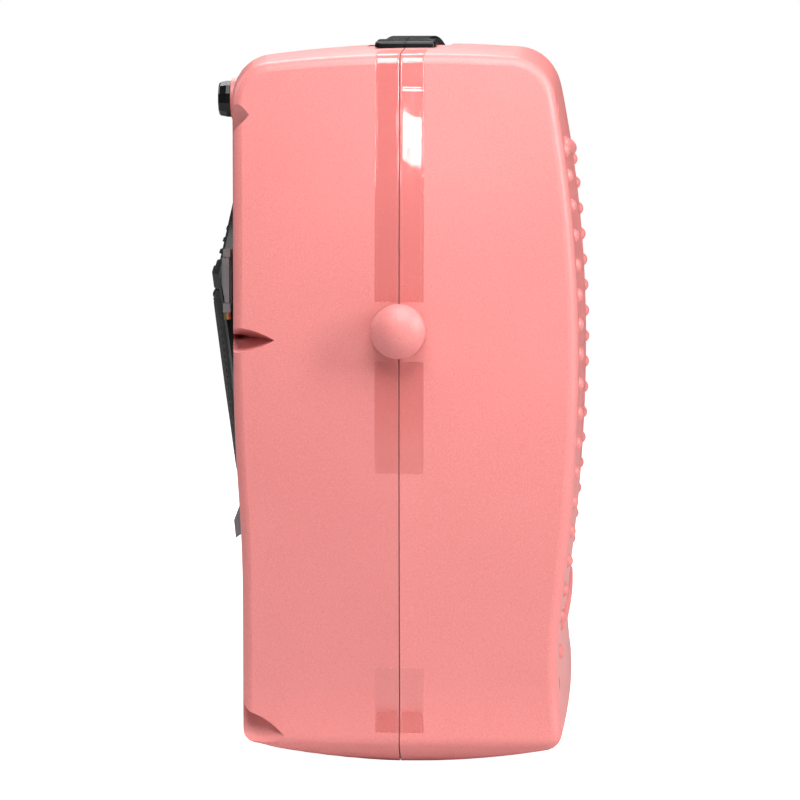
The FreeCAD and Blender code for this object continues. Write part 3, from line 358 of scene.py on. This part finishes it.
def surface_of(name):
    """A search tree of one CAD node's own surface, for finding where a line meets it."""
    mesh = frame["nodes"][name].data
    return BVHTree.FromPolygons([v.co for v in mesh.vertices], [tuple(p.vertices) for p in mesh.polygons])


def make_piece(name, points, faces, slot_name, body):
    mesh = bpy.data.meshes.new(name)
    mesh.from_pydata([tuple(p) for p in points], [], faces)
    mesh.validate()
    piece = bpy.data.objects.new(name, mesh)
    scene.collection.objects.link(piece)
    mesh.shade_smooth()
    mesh.materials.append(MATERIALS[slot_name])
    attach(piece, body)
    return piece


def outward_faces(piece):
    """Turn a closed piece's faces to point out."""
    work = bmesh.new()
    work.from_mesh(piece.data)
    bmesh.ops.recalc_face_normals(work, faces=work.faces)
    work.to_mesh(piece.data)
    work.free()


def strip_faces(rows, columns):
    """The faces of a grid of points laid out row by row."""
    corners = [row * columns + column for row in range(rows - 1) for column in range(columns - 1)]
    return [(a, a + 1, a + columns + 1, a + columns) for a in corners]


def two_sides(front_faces, under):
    """The faces of a sheet's front, and the same turned over on the points that start at `under`."""
    return front_faces + [tuple(under + i for i in reversed(face)) for face in front_faces]


def edge_faces(chains, under):
    """The narrow faces that join a sheet's two sides along chains of its front points."""
    return [(a, b, under + b, under + a) for chain in chains for a, b in zip(chain, chain[1:])]


# ---------------------------------------------------------------- tape

TAPE_FILM = 0.00006          # the film's own thickness
TAPE_SEAM = 0.0003           # half the slit along the parting line
TAPE_MARGIN = 0.0002         # from the film's long edge to the CAD tape's
TAPE_STEP = 0.0015           # spacing of its points along the tape
TAPE_COLUMNS = 9             # points across each half
TAPE_SINK = 0.00024          # how far below the CAD tape's face the film lies where it clings to the wall
TAPE_END_SHARE = 0.04        # place of the extra row at a cut end, as a share of a step
TAPE_CORNER = Vector((0.1300, 0.0, 0.3260))    # what the route turns about at the edge of the top
TAPE_CORNER_TURNS = 26
TAPE_TOP_END = 0.1190        # how far in over the top it goes
CAST_OUT, CAST_UP, CAST_ROUND = 0.20, 0.40, 0.06    # where the rays start: beside, above, and round the corner

# node: lower end, upper end, noise seed
TAPES = {"tape_upper": (0.1412, 0.40, 11.0), "tape_lower": (0.0150, 0.0478, 23.0)}


def tape_route(low, high):
    """Places outside the tape and the way to look for it, up the wall and, for the upper length, over the edge."""
    route, z = [], low
    while z < min(high, TAPE_CORNER.z):
        route.append((Vector((CAST_OUT, 0.0, z)), Vector((-1.0, 0.0, 0.0))))
        z += TAPE_STEP
    if high <= TAPE_CORNER.z:
        return route
    for i in range(TAPE_CORNER_TURNS + 1):
        turn = math.radians(90.0 * i / TAPE_CORNER_TURNS)
        away = Vector((math.cos(turn), 0.0, math.sin(turn)))
        route.append((TAPE_CORNER + away * CAST_ROUND, -away))
    x = TAPE_CORNER.x - TAPE_STEP
    while x > TAPE_TOP_END:
        route.append((Vector((x, 0.0, CAST_UP)), Vector((0.0, 0.0, -1.0))))
        x -= TAPE_STEP
    return route


def ripple(y, z, seed):
    """How far the film lifts off the wall, from 0 to 1: long pulls along it and a few short creases."""
    pull = noise.noise(Vector((y * 70.0, z * 16.0, seed)))
    crease = noise.noise(Vector((y * 120.0, z * 60.0, seed + 5.0)))
    crease = max(0.0, abs(crease) - 0.18)
    return min(1.0, max(0.0, 0.42 + 0.75 * pull + 0.40 * crease))


def held_ends(run):
    """The rows of one run with another close to each end, so that the shading stays even up to the cut."""
    def beside(end, following):
        return [(p.lerp(q, TAPE_END_SHARE), normal) for (p, normal), (q, other) in zip(end, following)]

    return [run[0], beside(run[0], run[1])] + run[1:-1] + [beside(run[-1], run[-2]), run[-1]]


def film_row(surface, place, look, side, half, half_width, seed):
    """One row of film points with their normals, or None where some of them have no tape under them."""
    way = Vector((side * look.x, 0.0, look.z))
    row = []
    for column in range(TAPE_COLUMNS):
        share = column / (TAPE_COLUMNS - 1)
        y = half * (TAPE_SEAM + share * (half_width - TAPE_MARGIN - TAPE_SEAM))
        hit, normal = surface.ray_cast(Vector((side * place.x, y, place.z)), way)[:2]
        if hit is None:
            return None
        if normal.dot(way) > 0:
            normal = -normal
        lift = ripple(y * half, place.z + place.x, seed + 3 * half + side)
        row.append((hit - normal * TAPE_SINK * (1.0 - lift), normal))
    return row


def film_runs(surface, low, high, side, half, half_width, seed):
    """The unbroken runs of rows along one half of one length."""
    runs = [[]]
    for place, look in tape_route(low, high):
        row = film_row(surface, place, look, side, half, half_width, seed)
        if row is None:
            runs.append([])
        else:
            runs[-1].append(row)
    return [held_ends(run) for run in runs if len(run) > 2]


def make_tape(node, low, high, seed):
    """Each half of each length as a thin closed film that follows the wall and lifts off it in ripples."""
    surface = surface_of(node)
    half_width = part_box(node)[1][1]
    runs = [run for side in (-1, 1) for half in (-1, 1)
            for run in film_runs(surface, low, high, side, half, half_width, seed)]
    for count, run in enumerate(runs, 1):
        outer = [p for row in run for p, normal in row]
        inner = [p - normal * TAPE_FILM for row in run for p, normal in row]
        under = len(outer)
        broad = two_sides(strip_faces(len(run), TAPE_COLUMNS), under)
        chains = [range(0, under, TAPE_COLUMNS), range(TAPE_COLUMNS - 1, under, TAPE_COLUMNS),
                  range(TAPE_COLUMNS), range(under - TAPE_COLUMNS, under)]
        piece = make_piece(f"{node}_film_{count}", outer + inner, broad + edge_faces(chains, under),
                           "clear_tape", "housing")
        outward_faces(piece)
        for edge_face in piece.data.polygons[len(broad):]:
            edge_face.use_smooth = False
        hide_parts(node)


for tape_node, tape_settings in TAPES.items():
    make_tape(tape_node, *tape_settings)


# ---------------------------------------------------------------- hand rest

REST_NODE = "hand_rest_pad"
REST_MIDDLE = Vector((0.0, 0.0, 0.176))
REST_FRONT_OF = -0.2                 # where the rays that look for its face start
REST_FAR = 0.11                      # further out than its outline is anywhere
REST_BISECTIONS = 24
REST_SPOKES, REST_RINGS = 120, 30
RING_BIAS = 1.6                      # above 1 the rings crowd together towards the edge
REST_INSET = 0.0003                  # from the CAD outline in to the visual one
REST_BACK_INSET = 0.0001
CHANNEL_IN, CHANNEL_WIDTH, CHANNEL_DEPTH = 0.0075, 0.0012, 0.0007
EDGE_ROUND, EDGE_REACH, EDGE_POWER = 0.0020, 0.0055, 2.4
PLUMP_DEPTH, PLUMP_SCALE, PLUMP_SEED = 0.0003, 34.0, 2.0

STITCH_THREAD, STITCH_LENGTH, STITCH_PITCH = 0.00028, 0.0024, 0.0036
STITCH_RISE, STITCH_BOW = 0.00035, 0.0005    # its middle below the pad's CAD face, and its ends below that
STITCH_STATIONS, STITCH_SIDES = 5, 6


def rest_front(surface, x, z):
    return surface.ray_cast(Vector((x, REST_FRONT_OF, z)), Vector((0.0, 1.0, 0.0)))[0]


def rest_rear(surface, x, z):
    return surface.ray_cast(Vector((x, 0.0, z)), Vector((0.0, -1.0, 0.0)))[0]


def around_rest(radius, spoke):
    """The x and z of a place that far from the middle along a spoke."""
    angle = math.tau * spoke / REST_SPOKES
    return radius * math.cos(angle), REST_MIDDLE.z + radius * math.sin(angle)


def rest_reach(surface, spoke):
    """How far the outline is from the middle along a spoke."""
    near, far = 0.0, REST_FAR
    for _ in range(REST_BISECTIONS):
        trial = (near + far) / 2
        inside = rest_front(surface, *around_rest(trial, spoke)) is not None
        near, far = (trial, far) if inside else (near, trial)
    return near - REST_INSET


def rest_sink(x, z, from_edge):
    """How far the pad's visible face lies behind its CAD face: round edge, stitched channel, soft swells."""
    sink = EDGE_ROUND * max(0.0, 1.0 - from_edge / EDGE_REACH) ** EDGE_POWER
    sink += CHANNEL_DEPTH * math.exp(-((from_edge - CHANNEL_IN) / CHANNEL_WIDTH) ** 2)
    return sink + PLUMP_DEPTH * (0.5 + 0.5 * noise.noise(Vector((x * PLUMP_SCALE, z * PLUMP_SCALE, PLUMP_SEED))))


def make_hand_rest():
    """The padded hand rest: a crowned form with a stitched channel round it, inside its CAD solid."""
    surface = surface_of(REST_NODE)
    reaches = [rest_reach(surface, spoke) for spoke in range(REST_SPOKES)]
    points = [rest_front(surface, *around_rest(0.0, 0))]
    for ring in range(1, REST_RINGS + 1):
        share = 1.0 - (1.0 - ring / REST_RINGS) ** RING_BIAS
        for spoke, extent in enumerate(reaches):
            x, z = around_rest(extent * share, spoke)
            points.append(Vector((x, rest_front(surface, x, z).y + rest_sink(x, z, extent * (1.0 - share)), z)))
    last = 1 + (REST_RINGS - 1) * REST_SPOKES
    back = len(points)
    for spoke, extent in enumerate(reaches):
        x, z = around_rest(extent, spoke)
        points.append(Vector((x, rest_rear(surface, x, z).y - REST_BACK_INSET, z)))
    points.append(rest_rear(surface, *around_rest(0.0, 0)))
    faces = []
    for i in range(REST_SPOKES):
        j = (i + 1) % REST_SPOKES
        faces.append((0, 1 + j, 1 + i))
        for first in range(1, last, REST_SPOKES):
            faces.append((first + i, first + j, first + j + REST_SPOKES, first + i + REST_SPOKES))
        faces.append((last + i, last + j, back + j, back + i))
        faces.append((back + i, back + j, len(points) - 1))
    piece = make_piece("hand_rest", points, faces, "black_soft", "cover")
    outward_faces(piece)
    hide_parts(REST_NODE)
    make_stitches(surface, reaches)


def make_stitches(surface, reaches):
    """Short thread stitches laid in the channel."""
    line = []
    for spoke, extent in enumerate(reaches):
        x, z = around_rest(extent - CHANNEL_IN, spoke)
        line.append(Vector((x, 0.0, z)))
    line.append(line[0].copy())
    points, faces, travelled, due = [], [], 0.0, 0.0
    for a, b in zip(line, line[1:]):
        run = (b - a).length
        while due < travelled + run:
            add_stitch(points, faces, surface, a.lerp(b, (due - travelled) / run), (b - a).normalized())
            due += STITCH_PITCH
        travelled += run
    make_piece("hand_rest_stitches", points, faces, "black_soft", "cover")


def add_stitch(points, faces, surface, centre, along):
    """One stitch: a small six-sided thread, bowed so that its ends dip into the pad."""
    across = along.cross(Vector((0.0, 1.0, 0.0)))
    first = len(points)
    for station in range(STITCH_STATIONS):
        share = 2.0 * station / (STITCH_STATIONS - 1) - 1.0
        place = centre + along * (share * STITCH_LENGTH / 2)
        hit = rest_front(surface, place.x, place.z)
        if hit is None:
            del points[first:]
            return
        height = hit.y + STITCH_RISE + STITCH_BOW * share * share
        for side in range(STITCH_SIDES):
            turn = math.tau * side / STITCH_SIDES
            offset = across * (STITCH_THREAD * math.cos(turn)) + Vector((0.0, STITCH_THREAD * math.sin(turn), 0.0))
            points.append(Vector((place.x, height, place.z)) + offset)
    for station in range(STITCH_STATIONS - 1):
        ring = first + station * STITCH_SIDES
        for side in range(STITCH_SIDES):
            a, b = ring + side, ring + (side + 1) % STITCH_SIDES
            faces.append((a, b, b + STITCH_SIDES, a + STITCH_SIDES))
    faces.append(tuple(first + side for side in reversed(range(STITCH_SIDES))))
    faces.append(tuple(len(points) - STITCH_SIDES + side for side in range(STITCH_SIDES)))


make_hand_rest()


# ---------------------------------------------------------------- side studs

STUD_LINE_WIDTH, STUD_LINE_HEIGHT = 0.00030, 0.00010    # half its width, and how far it stands out
STUD_LINE_REACH, STUD_LINE_STEPS = 0.0128, 60
STUD_OUTSIDE = 0.25                                     # where the rays that look for the stud start


def make_stud_line(node, side):
    """The faint mould line that runs over the stud from top to bottom."""
    surface = surface_of(node)
    lower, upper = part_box(node)
    middle_z = (lower[2] + upper[2]) / 2
    front = []
    for i in range(STUD_LINE_STEPS + 1):
        z = middle_z + STUD_LINE_REACH * math.cos(math.pi * i / STUD_LINE_STEPS)
        for y, lift in ((-STUD_LINE_WIDTH, -STUD_LINE_HEIGHT), (0.0, STUD_LINE_HEIGHT),
                        (STUD_LINE_WIDTH, -STUD_LINE_HEIGHT)):
            hit = surface.ray_cast(Vector((side * STUD_OUTSIDE, y, z)), Vector((-side, 0.0, 0.0)))[0]
            front.append(hit + Vector((side * lift, 0.0, 0.0)))
    columns, under = 3, len(front)
    back = [p - Vector((side * 2 * STUD_LINE_HEIGHT, 0.0, 0.0)) for p in front]
    chains = [range(0, under, columns), range(columns - 1, under, columns),
              range(columns), range(under - columns, under)]
    faces = two_sides(strip_faces(STUD_LINE_STEPS + 1, columns), under) + edge_faces(chains, under)
    outward_faces(make_piece(f"{node}_mould_line", front + back, faces, "pink_shell", "housing"))


for stud_node, stud_side in (("side_stud_right", 1), ("side_stud_left", -1)):
    make_stud_line(stud_node, stud_side)
